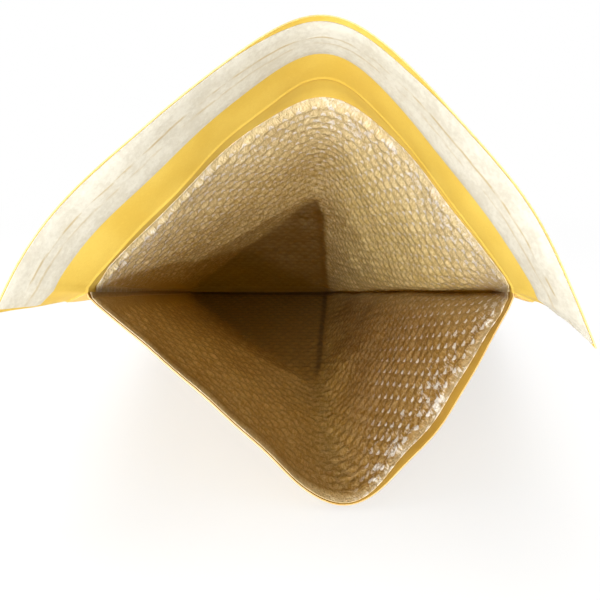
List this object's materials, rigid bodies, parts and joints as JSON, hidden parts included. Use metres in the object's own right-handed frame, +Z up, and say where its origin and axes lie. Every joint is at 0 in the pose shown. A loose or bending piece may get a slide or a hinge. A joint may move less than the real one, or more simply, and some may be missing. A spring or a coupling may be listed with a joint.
{
  "type": "padded envelope",
  "caption": "Golden kraft mailing envelope lined with bubble film, mouth open, with a peel-and-seal flap, lying on its front panel.",
  "frame": {"origin": "on the table, under the flat of the front panel", "axes": "+Z up, the mouth towards -Y, the bottom fold along X at the +Y end"},
  "size_m": [0.29, 0.3934, 0.2132],
  "materials": {
    "kraft": "matt golden-yellow kraft paper, slightly lighter outside",
    "bubble_film": "clear glossy bubble film that shows the kraft behind it",
    "adhesive": "clear tacky hot-melt adhesive",
    "release_paper": "off-white coated release paper, satin"
  },
  "bodies": {
    "root": {"kraft_outer": "kraft", "bubble_liner": "bubble_film", "adhesive_strip": "adhesive", "release_liner": "release_paper"}
  },
  "joints": []
}
